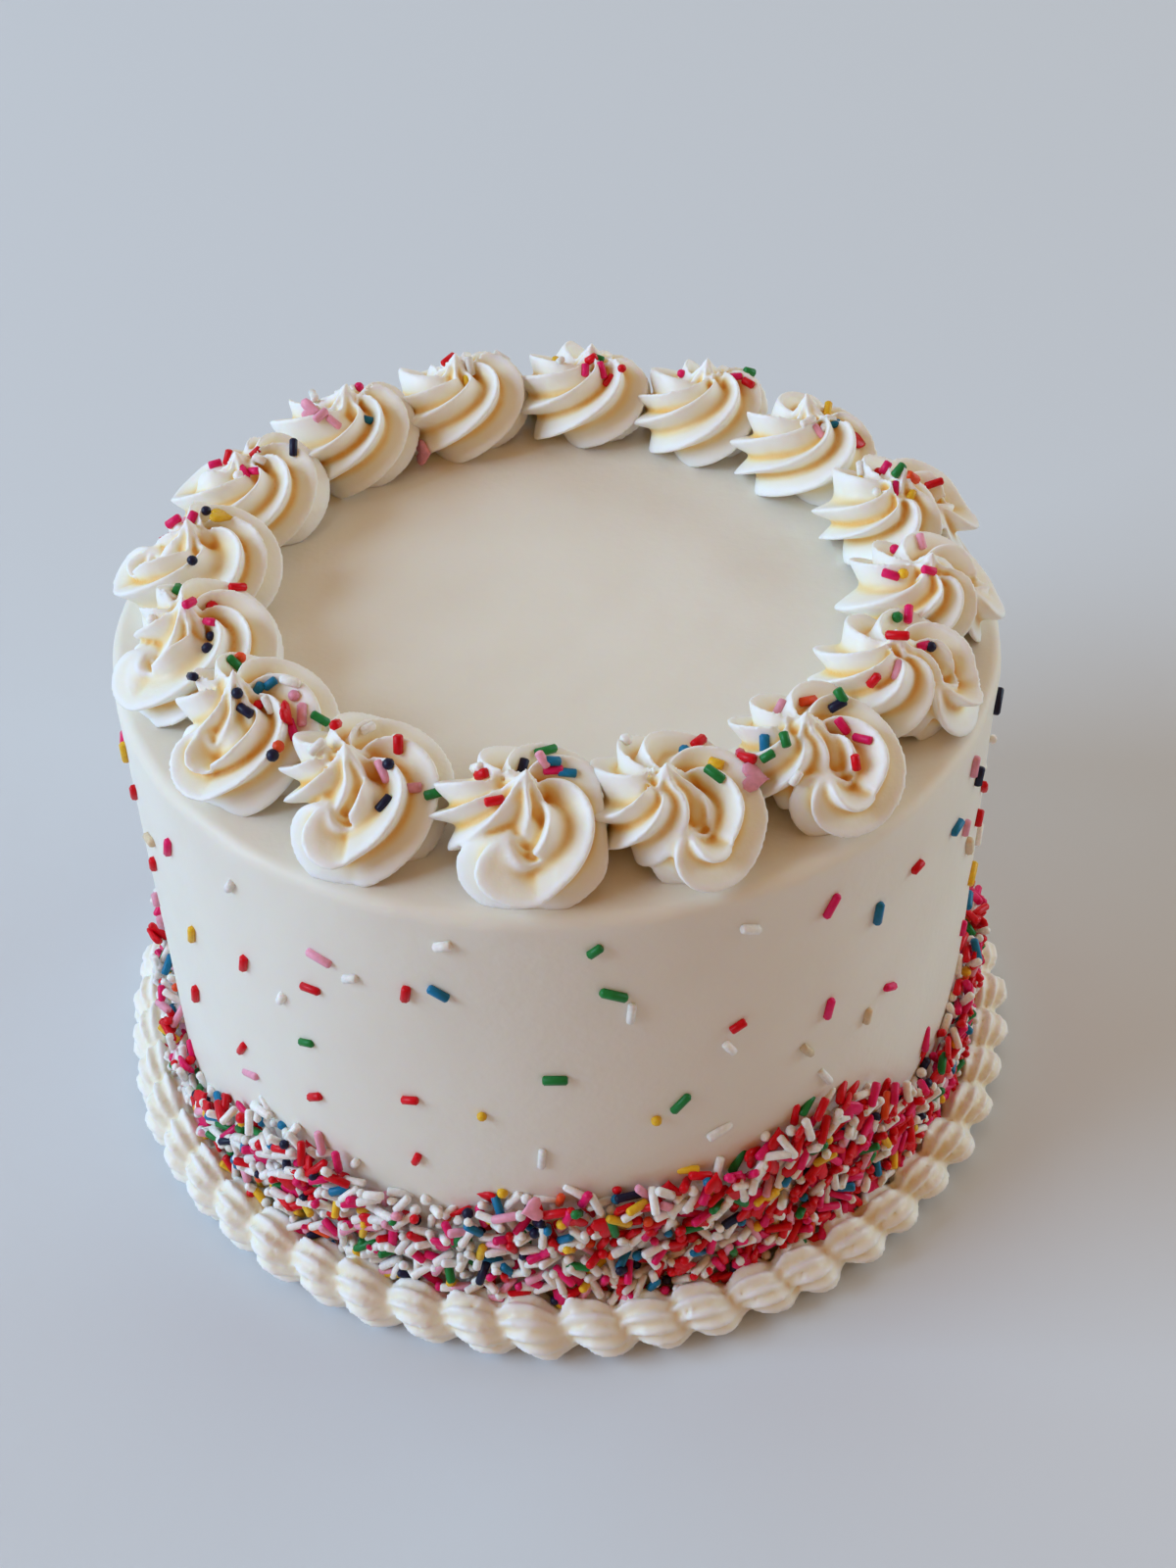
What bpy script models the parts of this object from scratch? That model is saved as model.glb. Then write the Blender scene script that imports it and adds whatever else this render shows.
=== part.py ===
"""A tall round buttercream cake, built as its maker builds it.

A smooth covered cake stands on its base. A ring of twisted star rosettes is piped round its top,
a border of shells is piped round its foot, and sugar sprinkles are pressed on in a wavy band
above the shells, with single ones up the side and on the rosettes.

Metres, +Z up. The origin is the middle of the base. A bearing is an angle round the cake,
from the front (-Y) towards +X.
"""

import math

import bmesh
import bpy
import numpy as np
from mathutils import Matrix, Vector

# The covered cake
CAKE_RADIUS = 0.102
CAKE_HEIGHT = 0.131
RIM_ROUNDING = 0.003
RIM_TURNS = (0.0, math.pi / 4, math.pi / 2)
CAKE_COLUMNS = 96

# The piped rosettes on the top. Each stands a little off its even place in the ring, by this many degrees.
ROSETTES = 16
ROSETTE_STRAYS = (-0.8, 1.3, -1.0, -0.9, -0.6, -1.7, -1.4, 1.2, 0.4, -0.5, 0.5, -0.3, 1.2, 0.4, -0.4, -1.2)
FIRST_ROSETTE_BEARING = math.radians(-29.4)
ROSETTE_RING_RADIUS = 0.0832
ROSETTE_RADIUS = 0.0188
ROSETTE_HEIGHT = 0.0235
ROSETTE_RIDGES = 7
ROSETTE_LEVELS = 8
ROSETTE_TWIST = math.radians(115)
ROSETTE_FULLNESS = 0.8
ROSETTE_LEAN = 0.0015
# How far the foot draws in, as a share of the radius, and the share of the height over which it does.
ROSETTE_TUCK = (0.14, 0.2)
# How deep its grooves are, as a share of the radius: at the foot, and what is added up to the peak.
ROSETTE_GROOVE = (0.13, 0.24)
ROSETTE_RIDGE_SHARPNESS = 1.5
SPRINKLES_ON_EACH_ROSETTE = 3
SPRINKLE_SHARES_ON_ROSETTE = (0.62, 0.82)

# The piped shell border at the foot
SHELLS = 52
SHELL_PATH_RADIUS = 0.1112
SHELL_HALF_WIDTH = 0.0084
SHELL_FOOT_SHARE = 0.7
SHELL_HALF_HEIGHT = 0.0076
SHELL_RIDGES = 4
SHELL_GROOVE = 0.2
SHELL_FIRST_RIDGE = math.radians(-35)
SHELL_LAST_RIDGE = math.radians(165)
# Along one shell, from its head to its tail: where a section stands, and its size as a share of the largest.
SHELL_SECTIONS = ((0.0, 0.54), (0.22, 1.0), (0.66, 0.9))

# The sprinkles
SPRINKLE_RADIUS = 0.001
SPRINKLE_LENGTH = 0.006
SPRINKLE_SIDES = 5
SPRINKLE_POINT = 0.0006
SPRINKLE_SHOWS = 0.35
GOLDEN_ANGLE = math.radians(137.508)
GOLDEN_SHARE = 0.618034
BAND_FOOT = 0.0135
BAND_ROWS = 5
BAND_THICKNESS = 0.0021
BAND_THINNEST = 0.35
BAND_RAGGEDNESS = 0.0018
BAND_SPRINKLES = 16
BAND_SPRINKLE_TURN = 2.4
# The band's upper edge: its mean height, then waves as how many round the cake, height and angle.
BAND_MEAN_HEIGHT = 0.0435
BAND_WAVES = ((2, 0.0083, -0.63), (6, 0.0053, -2.56), (9, 0.0042, 0.58))
HIDDEN_SIDE_SPRINKLES = 26
SEEN_HALF_ANGLE = math.radians(77)
CLEAR_OF_THE_BAND = 0.006
CLEAR_OF_THE_RIM = 0.008

# Pieces that touch keep this gap.
GAP = 0.0003

# Single sprinkles on the seen front of the side: bearing and lean in degrees, height in mm.
SEEN_SIDE_SPRINKLES = (
    (3, 123, 40), (5, 110, -25), (7, 104, 85), (-2, 85, 0), (-15, 109, -30), (-19, 107, 80),
    (-14, 123, 20), (-11, 72, -20), (-20, 73, 15), (-20, 53, 70), (-4, 59, 85), (21, 121, -25),
    (32, 118, 60), (40, 107, 85), (47, 112, 10), (33, 86, 80), (20, 93, 25), (19, 87, -60),
    (13, 73, 50), (10, 69, 30), (44, 79, -30), (57, 110, 5), (-43, 95, 75), (-30, 110, -15),
    (-32, 99, 5), (-37, 91, 65), (-34, 80, 20), (-47, 62, 60), (-34, 62, 35), (-43, 118, 60),
    (-57, 112, 70), (-55, 88, 75), (-66, 94, 75), (-26, 107, 25), (30, 76, -55), (40, 75, 80),
    (73, 124, 40), (75, 110, -35), (61, 122, 80), (64, 115, 70), (70, 103, -60), (61, 104, 75),
    (69, 95, 55), (64, 94, -70), (74, 82, 60), (71, 74, 20), (74, 66, -50), (69, 59, 70),
    (-72, 119, 80), (-70, 110, 70), (-65, 103, 20), (-72, 73, -60), (-74, 62, 65), (-58, 64, 75),
)


def food_material(name, colour, roughness):
    material = bpy.data.materials.new(name)
    material.use_nodes = True
    shader = material.node_tree.nodes["Principled BSDF"]
    shader.inputs["Base Color"].default_value = (*colour, 1)
    shader.inputs["Roughness"].default_value = roughness
    shader.inputs["Metallic"].default_value = 0
    return material


def round_the_cake(radius, bearing, height):
    """The point at this radius and height, at this bearing from the front."""
    return np.stack([radius * np.sin(bearing), -radius * np.cos(bearing), height + 0 * bearing], -1)


def stacked_rings(rings, closed=False):
    """Points and faces of a skin over rings of equal length. A closed stack joins its last ring to its first."""
    count = len(rings[0])
    points = [point for ring in rings for point in ring]
    steps = len(rings) if closed else len(rings) - 1
    faces = []
    for level in range(steps):
        low, high = level * count, (level + 1) % len(rings) * count
        for i in range(count):
            j = (i + 1) % count
            faces.append((low + i, low + j, high + j, high + i))
    return points, faces


def capped(points, faces, count, foot, tip):
    """Closes an open stack with a fan to a foot point under the first ring and one to a tip over the last."""
    first, last = len(points), len(points) + 1
    top = len(points) - count
    for i in range(count):
        j = (i + 1) % count
        faces.append((j, i, first))
        faces.append((top + i, top + j, last))
    return points + [foot, tip], faces


def solid(name, points, faces, material):
    mesh = bpy.data.meshes.new(name)
    mesh.from_pydata([tuple(point) for point in points], [], faces)
    mesh.materials.append(material)
    mesh.shade_smooth()
    mesh.set_sharp_from_angle(angle=math.radians(50))
    made = bpy.data.objects.new(name, mesh)
    bpy.context.scene.collection.objects.link(made)
    return made


def band_edge(bearing):
    """Height of the sprinkle band's wavy upper edge."""
    return BAND_MEAN_HEIGHT + sum(high * np.cos(times * bearing + angle) for times, high, angle in BAND_WAVES)


def cake_solid(material):
    """The covered cake: a turned wall and top, with the sprinkle band as a layer of bumps of a sprinkle's size."""
    rng = np.random.default_rng(8)
    bearing = np.arange(CAKE_COLUMNS) * 2 * math.pi / CAKE_COLUMNS
    edge = band_edge(bearing) + rng.uniform(-BAND_RAGGEDNESS, BAND_RAGGEDNESS, CAKE_COLUMNS)
    wall = np.full(CAKE_COLUMNS, CAKE_RADIUS)
    rings = [round_the_cake(wall, bearing, 0.0), round_the_cake(wall, bearing, BAND_FOOT - SPRINKLE_RADIUS)]
    for row in range(BAND_ROWS):
        bumps = BAND_THICKNESS * rng.uniform(BAND_THINNEST, 1.0, CAKE_COLUMNS)
        height = BAND_FOOT + (edge - BAND_FOOT) * (row + 0.25) / BAND_ROWS
        rings.append(round_the_cake(wall + bumps, bearing, height))
    rings.append(round_the_cake(wall, bearing, edge))
    for turn in RIM_TURNS:
        radius = wall - RIM_ROUNDING * (1 - math.cos(turn))
        rings.append(round_the_cake(radius, bearing, CAKE_HEIGHT - RIM_ROUNDING * (1 - math.sin(turn))))
    points, faces = stacked_rings(rings)
    points, faces = capped(points, faces, CAKE_COLUMNS, (0, 0, 0), (0, 0, CAKE_HEIGHT))
    return solid("cake", points, faces, material)


def sprinkle(at, outward, lean, length, material):
    """One rod of sugar lying flat: a prism with pointed ends, its middle at a point of the surface,
    turned by lean in the surface that faces outward."""
    level = outward.cross(Vector((0, 0, 1)))
    level = level.normalized() if level.length > 0.1 else Vector((1, 0, 0))
    across = outward.cross(level).normalized()
    along = (math.cos(lean) * level + math.sin(lean) * across).normalized()
    turned = np.arange(SPRINKLE_SIDES) * 2 * math.pi / SPRINKLE_SIDES
    ring = SPRINKLE_RADIUS * np.stack([np.cos(turned), np.sin(turned), 0 * turned], -1)
    half = length / 2 - SPRINKLE_POINT
    ends = [ring + (0, 0, -half), ring + (0, 0, half)]
    points, faces = stacked_rings(ends)
    points, faces = capped(points, faces, SPRINKLE_SIDES, (0, 0, -length / 2), (0, 0, length / 2))
    rod = solid("sprinkle", points, faces, material)
    place = Matrix((outward, along.cross(outward).normalized(), along)).transposed().to_4x4()
    place.translation = at + SPRINKLE_SHOWS * SPRINKLE_RADIUS * outward
    rod.data.transform(place)
    return rod


def side_sprinkles(material):
    """The single sprinkles up the side: the seen ones, and more round the back by the golden angle."""
    places = [(math.radians(b), height / 1000, math.radians(lean)) for b, height, lean in SEEN_SIDE_SPRINKLES]
    hidden_angle = 2 * math.pi - 2 * SEEN_HALF_ANGLE
    for k in range(HIDDEN_SIDE_SPRINKLES):
        bearing = SEEN_HALF_ANGLE + hidden_angle * (k * GOLDEN_SHARE % 1)
        low = band_edge(bearing) + CLEAR_OF_THE_BAND
        high = CAKE_HEIGHT - CLEAR_OF_THE_RIM
        height = low + (high - low) * (k + 0.5) / HIDDEN_SIDE_SPRINKLES
        places.append((bearing, height, k * GOLDEN_ANGLE))
    made = []
    for bearing, height, lean in places:
        outward = Vector((math.sin(bearing), -math.cos(bearing), 0))
        at = CAKE_RADIUS * outward + Vector((0, 0, height))
        made.append(sprinkle(at, outward, lean, SPRINKLE_LENGTH, material))
    return made


def band_sprinkles(material):
    """Whole sprinkles that stand proud of the band, spread evenly over it by the golden angle."""
    made = []
    for k in range(BAND_SPRINKLES):
        bearing = k * GOLDEN_ANGLE
        share = k * GOLDEN_SHARE % 1
        low = BAND_FOOT + SPRINKLE_LENGTH / 2 + SPRINKLE_RADIUS
        height = low + share * (band_edge(bearing) - low)
        outward = Vector((math.sin(bearing), -math.cos(bearing), 0))
        at = (CAKE_RADIUS + BAND_THICKNESS * (1 - share)) * outward + Vector((0, 0, height))
        made.append(sprinkle(at, outward, BAND_SPRINKLE_TURN * k, SPRINKLE_LENGTH, material))
    return made


def keep_largest_shell(mesh):
    """Drops every shell of faces but the largest, which fills a sealed hollow and removes a loose scrap."""
    work = bmesh.new()
    work.from_mesh(mesh)
    left = set(work.verts)
    shells = []
    while left:
        shell, edge = set(), [left.pop()]
        while edge:
            vert = edge.pop()
            shell.add(vert)
            near = {link.other_vert(vert) for link in vert.link_edges} & left
            left -= near
            edge += near
        shells.append(shell)
    shells.sort(key=len)
    for shell in shells[:-1]:
        bmesh.ops.delete(work, geom=list(shell), context="VERTS")
    work.to_mesh(mesh)
    work.free()


def fuse(host, pieces):
    """Joins the pieces to their host by one union, and removes them."""
    group = bpy.data.collections.new(host.name + "_pieces")
    bpy.context.scene.collection.children.link(group)
    for piece in pieces:
        bpy.context.scene.collection.objects.unlink(piece)
        group.objects.link(piece)
    union = host.modifiers.new("union", "BOOLEAN")
    union.operation = "UNION"
    union.solver = "EXACT"
    union.operand_type = "COLLECTION"
    union.collection = group
    bpy.context.view_layer.update()
    fused = bpy.data.meshes.new_from_object(host.evaluated_get(bpy.context.evaluated_depsgraph_get()))
    host.modifiers.clear()
    host.data = fused
    keep_largest_shell(fused)
    for piece in pieces:
        bpy.data.objects.remove(piece)
    bpy.data.collections.remove(group)
    return host


def rosette_surface(share, turn, radius, height, lean):
    """A point of a rosette, from its foot (share 0) to its peak (share 1), at an angle round it.
    A dome with sharp ridges, which wind clockwise on their way down from the peak."""
    tuck = ROSETTE_TUCK[0] * np.clip(1 - share / ROSETTE_TUCK[1], 0, 1) ** 2
    envelope = np.clip(1 - share**2, 0, 1) ** ROSETTE_FULLNESS - tuck
    groove = ROSETTE_GROOVE[0] + ROSETTE_GROOVE[1] * share
    ridge = np.abs(np.cos(0.5 * ROSETTE_RIDGES * turn)) ** ROSETTE_RIDGE_SHARPNESS
    out = radius * envelope * (1 - groove * (1 - ridge))
    wound = turn - ROSETTE_TWIST * (1 - share)
    return (
        out * np.cos(wound) + lean[0] * share**2,
        out * np.sin(wound) + lean[1] * share**2,
        height * share + 0 * turn,
    )


def rosette_bearing(index):
    """Where this rosette stands. Counting on past the last goes on round the ring."""
    even = FIRST_ROSETTE_BEARING + index * 2 * math.pi / ROSETTES
    return even + math.radians(ROSETTE_STRAYS[index % ROSETTES])


def rosette(index, buttercream):
    """One rosette with its sprinkles. It is squeezed flat where it meets the two beside it."""
    rng = np.random.default_rng(100 + index)
    bearing = rosette_bearing(index)
    radius = ROSETTE_RADIUS * rng.uniform(0.96, 1.04)
    height = ROSETTE_HEIGHT * rng.uniform(0.93, 1.05)
    lean = rng.uniform(-ROSETTE_LEAN, ROSETTE_LEAN, 2)
    phase = rng.uniform(0, 2 * math.pi)
    columns = 2 * ROSETTE_RIDGES
    turn = np.arange(columns) * 2 * math.pi / columns
    before = math.tan((bearing - rosette_bearing(index - 1)) / 2)
    after = math.tan((rosette_bearing(index + 1) - bearing) / 2)
    outward = np.array([math.sin(bearing), -math.cos(bearing), 0])
    sideways = np.array([math.cos(bearing), math.sin(bearing), 0])
    middle = ROSETTE_RING_RADIUS * outward + (0, 0, CAKE_HEIGHT + GAP)

    def placed(x, y, z):
        across = math.cos(phase) * x - math.sin(phase) * y
        away = math.sin(phase) * x + math.cos(phase) * y
        slope = np.where(across < 0, before, after)
        room = ROSETTE_RING_RADIUS * slope - GAP / 2
        need = np.maximum(np.abs(across) - away * slope, 1e-9)
        squeeze = np.minimum(1, room / need)
        flat = (across * squeeze)[..., None] * sideways + (away * squeeze)[..., None] * outward
        return middle + flat + np.asarray(z)[..., None] * (0, 0, 1)

    rings = []
    for level in range(ROSETTE_LEVELS):
        share = np.full(columns, (level / ROSETTE_LEVELS) ** 0.92)
        rings.append(placed(*rosette_surface(share, turn, radius, height, lean)))
    points, faces = stacked_rings(rings)
    points, faces = capped(points, faces, columns, middle, placed(lean[0], lean[1], height))
    made = solid(f"rosette_{index + 1:02d}", points, faces, buttercream)

    rods = []
    for k in range(SPRINKLES_ON_EACH_ROSETTE):
        share = np.array([rng.uniform(*SPRINKLE_SHARES_ON_ROSETTE)])
        turned = np.array([k * GOLDEN_ANGLE + rng.uniform(-0.5, 0.5)])
        at, up, round_it = (
            Vector(placed(*rosette_surface(share + step, turned + twist, radius, height, lean))[0])
            for step, twist in ((0, 0), (0.02, 0), (0, 0.05))
        )
        facing = (round_it - at).cross(up - at).normalized()
        rods.append(sprinkle(at, facing, rng.uniform(0, math.pi), SPRINKLE_LENGTH * 0.9, buttercream))
    return fuse(made, rods)


def shell_border(buttercream):
    """The border: one ridged rope laid round the foot, which swells at the head of each shell and dies away
    to its tail. It is flat where it lies on the base, and its ridges run along it from the foot to the cake."""
    rng = np.random.default_rng(52)
    turned = np.linspace(SHELL_LAST_RIDGE, SHELL_FIRST_RIDGE, 2 * SHELL_RIDGES - 1)
    star = 1 - SHELL_GROOVE * (np.arange(len(turned)) % 2)
    rings = []
    for shell in range(SHELLS):
        swell = rng.uniform(0.95, 1.03)
        for share, size in SHELL_SECTIONS:
            bearing = (shell + share) * 2 * math.pi / SHELLS
            reach = size * swell * star
            away = SHELL_PATH_RADIUS + SHELL_HALF_WIDTH * reach * np.cos(turned)
            height = SHELL_HALF_HEIGHT * (size * swell + reach * np.sin(turned))
            foot = SHELL_PATH_RADIUS + SHELL_FOOT_SHARE * SHELL_HALF_WIDTH * size
            away = np.concatenate([[CAKE_RADIUS + GAP], np.maximum(away, CAKE_RADIUS + GAP), [foot]])
            height = np.concatenate([[0], height, [0]])
            rings.append(round_the_cake(away, np.full(len(away), bearing), height))
    points, faces = stacked_rings(rings, closed=True)
    return solid("shell_border", points, faces, buttercream)


def build():
    for old in list(bpy.data.objects):
        bpy.data.objects.remove(old)
    buttercream = food_material("buttercream", (0.90, 0.83, 0.70), 0.5)
    piped = food_material("piped_buttercream", (0.92, 0.86, 0.74), 0.45)
    cake = cake_solid(buttercream)
    fuse(cake, side_sprinkles(buttercream) + band_sprinkles(buttercream))
    shell_border(piped)
    for index in range(ROSETTES):
        rosette(index, piped)


build()
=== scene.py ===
import math

import bpy
import numpy as np
from mathutils import Matrix, Vector
from mathutils.bvhtree import BVHTree


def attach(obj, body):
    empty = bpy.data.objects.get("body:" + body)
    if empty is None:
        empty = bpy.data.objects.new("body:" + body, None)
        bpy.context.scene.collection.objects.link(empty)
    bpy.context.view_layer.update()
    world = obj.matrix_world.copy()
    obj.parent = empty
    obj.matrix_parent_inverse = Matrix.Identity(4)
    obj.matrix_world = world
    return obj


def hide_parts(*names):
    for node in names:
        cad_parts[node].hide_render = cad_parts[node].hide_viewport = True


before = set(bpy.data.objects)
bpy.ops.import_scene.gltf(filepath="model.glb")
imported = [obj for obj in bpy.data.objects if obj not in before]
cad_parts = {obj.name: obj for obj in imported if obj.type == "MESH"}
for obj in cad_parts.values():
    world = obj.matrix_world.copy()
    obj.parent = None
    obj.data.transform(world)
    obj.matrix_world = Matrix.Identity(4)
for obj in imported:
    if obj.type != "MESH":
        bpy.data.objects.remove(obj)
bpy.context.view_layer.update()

print("frame loaded")

# Metres throughout. A bearing is an angle round the cake from the front (-Y) towards +X.
goldenAngle = math.radians(137.508)
goldenShare = 0.618034

cake = dict(
    radius=0.102,
    height=0.131,
    rim=0.003,             # rounding of the top edge
    columns=420,
    wallRings=64,
    topRings=45,
    sideWander=0.00016,    # how far the smoothed side is from true
    topWander=0.00022,
    rimWander=0.0002,
)


def ease(x, low, high):
    # 0 below low, 1 above high, with a soft s-curve between
    t = np.clip((x - low) / (high - low), 0, 1)
    return t * t * (3 - 2 * t)


def roundTheCake(radius, bearing, height):
    # the point at this radius and height, at this bearing from the front
    radius, bearing, height = np.broadcast_arrays(radius, bearing, height)
    return np.stack([radius * np.sin(bearing), -radius * np.cos(bearing), height], -1)


def ripples(angle, along, rng, waves, turns, lengths):
    # a sum of cosines with whole turns round the cake and random wavelengths along it, about 1 high
    total = 0
    for _ in range(waves):
        n = rng.integers(turns[0], turns[1] + 1)
        k = 2 * np.pi / rng.uniform(*lengths) * rng.choice([-1, 1])
        total = total + rng.uniform(0.5, 1) * np.cos(n * angle + k * along + rng.uniform(0, 6.28))
    return total / math.sqrt(waves)


def putMesh(name, verts, quads, tris=()):
    mesh = bpy.data.meshes.new(name)
    mesh.from_pydata(np.asarray(verts).tolist(), [], np.asarray(quads).tolist() + np.asarray(tris).tolist())
    mesh.validate()
    piece = bpy.data.objects.new(name, mesh)
    bpy.context.scene.collection.objects.link(piece)
    return piece


def closedTubes(points):
    # Skins over stacks of rings, each closed by a fan over both ends. The array is (tube, ring, round, xyz).
    tubes, rings, columns, _ = points.shape
    ends = [points[:, end].mean(1, keepdims=True) for end in (0, -1)]
    verts = np.concatenate([points.reshape(tubes, -1, 3)] + ends, 1)
    j = np.arange(columns)
    k = (j + 1) % columns
    ring = np.arange(rings - 1)[:, None] * columns
    quads = np.stack([ring + j, ring + k, ring + columns + k, ring + columns + j], -1).reshape(-1, 4)
    last = (rings - 1) * columns
    tip = rings * columns
    firstFan = np.stack([k, j, 0 * j + tip], -1)
    lastFan = np.stack([last + j, last + k, 0 * j + tip + 1], -1)
    tris = np.concatenate([firstFan, lastFan])
    shift = np.arange(tubes)[:, None, None] * verts.shape[1]
    return verts.reshape(-1, 3), (quads + shift).reshape(-1, 4), (tris + shift).reshape(-1, 3)


def readPoints(mesh, field="co"):
    values = np.empty(len(mesh.vertices) * 3)
    mesh.vertices.foreach_get(field, values)
    return values.reshape(-1, 3)


def edgeAverage(mesh):
    # returns a function that averages values over each point's neighbours
    ends = np.empty(len(mesh.edges) * 2, int)
    mesh.edges.foreach_get("vertices", ends)
    a, b = ends.reshape(-1, 2).T
    count = len(mesh.vertices)
    degree = np.maximum(np.bincount(ends, minlength=count), 1)

    def average(values):
        columns = [np.bincount(a, v[b], count) + np.bincount(b, v[a], count) for v in values.T]
        return np.stack(columns, 1) / degree[:, None]
    return average


def fusedSkin(piece, voxel, rounds):
    # one closed skin over everything in the piece, its voxel steps smoothed without shrinking it
    lowest = readPoints(piece.data)[:, 2].min()
    fuse = piece.modifiers.new("fuse", "REMESH")
    fuse.mode = "VOXEL"
    fuse.voxel_size = voxel
    evaluated = piece.evaluated_get(bpy.context.evaluated_depsgraph_get())
    mesh = bpy.data.meshes.new_from_object(evaluated)
    piece.modifiers.clear()
    piece.data = mesh
    mesh.name = piece.name
    average = edgeAverage(mesh)
    points = readPoints(mesh)
    # each round shrinks it a little and then swells it back
    for _ in range(rounds):
        for step in (0.6, -0.56):
            points = points + step * (average(points) - points)
    points[:, 2] = np.maximum(points[:, 2], lowest)
    mesh.vertices.foreach_set("co", points.ravel())
    mesh.update()
    return mesh


def markCreases(mesh, rounds, depth):
    # a point attribute that the piped cream's colour reads for painted shade and painted highlight: 0.5 on
    # the flat, towards 1 in a valley and towards 0 on a ridge, from how far each point lies below or above a
    # much smoothed copy of the skin
    average = edgeAverage(mesh)
    points, normals = readPoints(mesh), readPoints(mesh, "normal")
    soft = points
    for _ in range(rounds):
        soft = 0.5 * soft + 0.5 * average(soft)
    below = ((soft - points) * normals).sum(1, keepdims=True) / depth
    for _ in range(3):
        below = 0.5 * below + 0.5 * average(below)
    mark = mesh.attributes.new("creaseShade", "FLOAT", "POINT")
    mark.data.foreach_set("value", np.clip(0.5 + below[:, 0], 0, 1).astype(np.float32))


def nodesOf(material):
    material.use_nodes = True
    tree = material.node_tree
    return tree, tree.nodes["Principled BSDF"]


def addNode(tree, kind, **settings):
    node = tree.nodes.new(kind)
    for name, value in settings.items():
        if name.startswith("in"):
            node.inputs[name[2:].replace("_", " ")].default_value = value
        else:
            setattr(node, name, value)
    return node


def colourRamp(tree, stops):
    ramp = tree.nodes.new("ShaderNodeValToRGB").color_ramp
    node = tree.nodes[-1]
    while len(ramp.elements) > 1:
        ramp.elements.remove(ramp.elements[-1])
    for index, (place, colour) in enumerate(stops):
        stop = ramp.elements[0] if index == 0 else ramp.elements.new(place)
        stop.position = place
        stop.color = (*colour, 1)
    return node


def fineSurface(tree, shader, layers):
    # bumps in layers, each (noise size in metres, height in metres)
    place = addNode(tree, "ShaderNodeTexCoord")
    under = None
    for size, height in layers:
        noise = addNode(tree, "ShaderNodeTexNoise", inScale=1 / size, inDetail=3.0, inRoughness=0.55)
        bump = addNode(tree, "ShaderNodeBump", inStrength=1.0, inDistance=height)
        tree.links.new(place.outputs["Object"], noise.inputs["Vector"])
        tree.links.new(noise.outputs["Fac"], bump.inputs["Height"])
        if under:
            tree.links.new(under.outputs["Normal"], bump.inputs["Normal"])
        under = bump
    tree.links.new(under.outputs["Normal"], shader.inputs["Normal"])
    return place


def creamLook(shader, roughness, depth):
    shader.inputs["Roughness"].default_value = roughness
    shader.inputs["IOR"].default_value = 1.45
    shader.inputs["Subsurface Weight"].default_value = 0.3
    shader.inputs["Subsurface Radius"].default_value = (1.0, 0.62, 0.3)
    shader.inputs["Subsurface Scale"].default_value = depth


def smoothIcing():
    material = bpy.data.materials.new("smoothIcing")
    tree, shader = nodesOf(material)
    creamLook(shader, 0.5, 0.004)
    place = fineSurface(tree, shader, [(0.012, 0.0003), (0.0022, 0.00007)])
    patches = addNode(tree, "ShaderNodeTexNoise", inScale=22.0, inDetail=3.0)
    tree.links.new(place.outputs["Object"], patches.inputs["Vector"])
    tone = colourRamp(tree, [(0.3, (0.835, 0.78, 0.685)), (0.7, (0.88, 0.835, 0.75))])
    tree.links.new(patches.outputs["Fac"], tone.inputs["Fac"])
    tree.links.new(tone.outputs["Color"], shader.inputs["Base Color"])
    return material


def pipedIcing():
    material = bpy.data.materials.new("pipedIcing")
    tree, shader = nodesOf(material)
    creamLook(shader, 0.42, 0.004)
    fineSurface(tree, shader, [(0.006, 0.0003), (0.0012, 0.00006)])
    # painted shade and highlight: the piped cream is painted darker and orange down its valleys, where shade
    # and warm light bounced inside the cream fall, and lighter towards its ridges as a painted highlight
    creaseShade = addNode(tree, "ShaderNodeAttribute", attribute_name="creaseShade")
    tone = colourRamp(tree, [
        (0.42, (0.97, 0.957, 0.93)),
        (0.52, (0.945, 0.895, 0.77)),
        (0.62, (0.93, 0.77, 0.44)),
        (0.74, (0.90, 0.56, 0.15)),
        (0.90, (0.80, 0.34, 0.05)),
    ])
    tree.links.new(creaseShade.outputs["Fac"], tone.inputs["Fac"])
    tree.links.new(tone.outputs["Color"], shader.inputs["Base Color"])
    return material


def sugarShell():
    material = bpy.data.materials.new("sugarShell")
    tree, shader = nodesOf(material)
    shader.inputs["Roughness"].default_value = 0.38
    shader.inputs["Specular IOR Level"].default_value = 0.22
    shader.inputs["Coat Weight"].default_value = 0.06
    shader.inputs["Coat Roughness"].default_value = 0.12
    shader.inputs["Subsurface Weight"].default_value = 0.2
    shader.inputs["Subsurface Scale"].default_value = 0.0008
    place = fineSurface(tree, shader, [(0.0011, 0.00009)])
    tint = addNode(tree, "ShaderNodeAttribute", attribute_name="tint")
    fade = addNode(tree, "ShaderNodeTexNoise", inScale=900.0, inDetail=2.0)
    mix = addNode(tree, "ShaderNodeMix", data_type="RGBA", blend_type="MULTIPLY")
    mix.inputs["Factor"].default_value = 1.0
    tone = colourRamp(tree, [(0.35, (0.88, 0.88, 0.88)), (0.65, (1.0, 1.0, 1.0))])
    tree.links.new(place.outputs["Object"], fade.inputs["Vector"])
    tree.links.new(fade.outputs["Fac"], tone.inputs["Fac"])
    tree.links.new(tint.outputs["Color"], mix.inputs["A"])
    tree.links.new(tone.outputs["Color"], mix.inputs["B"])
    tree.links.new(mix.outputs["Result"], shader.inputs["Base Color"])
    return material


looks = dict(smooth=smoothIcing(), piped=pipedIcing(), sugar=sugarShell())
print("materials made")


def finishPiece(piece, material, slotName, *nodes):
    piece.data.materials.clear()
    piece.data.materials.append(material)
    piece.data.shade_smooth()
    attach(piece, "root")
    if nodes:
        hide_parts(*nodes)
    return piece


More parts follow.
